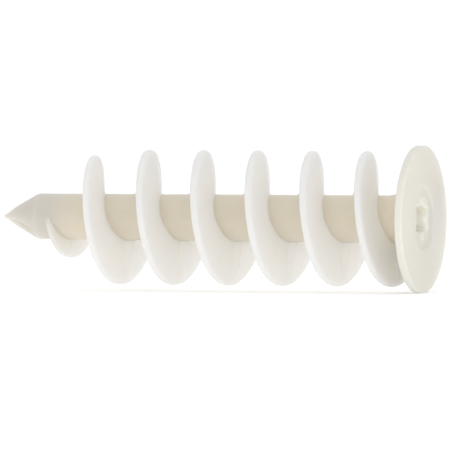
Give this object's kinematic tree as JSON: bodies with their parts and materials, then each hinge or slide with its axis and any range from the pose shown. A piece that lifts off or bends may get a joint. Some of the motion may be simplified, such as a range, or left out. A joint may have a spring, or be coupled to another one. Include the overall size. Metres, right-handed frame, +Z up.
{
  "type": "wall anchor",
  "caption": "Self-drilling spiral wall anchor for insulation board: pointed shank with a wide spiral flight, round flange and six-lobe drive socket.",
  "frame": {"origin": "centre of the flange's rear face, where the head seats on the wall", "axes": "+X along the anchor's axis from the drill point to the head, +Z up with a socket lobe, +Y across"},
  "size_m": [0.09, 0.0298, 0.0298],
  "materials": {
    "nylon": "natural uncoloured nylon, milky and slightly translucent, satin as moulded"
  },
  "bodies": {
    "root": {"drill_point": "nylon", "shank_nose": "nylon", "shank_tube": "nylon", "drive_socket": "nylon", "flange_disc": "nylon", "flight_lead_in": "nylon", "flight_turn_1": "nylon", "flight_turn_2": "nylon", "flight_turn_3": "nylon", "flight_turn_4": "nylon", "flight_turn_5": "nylon", "flight_run_out": "nylon"}
  },
  "joints": []
}
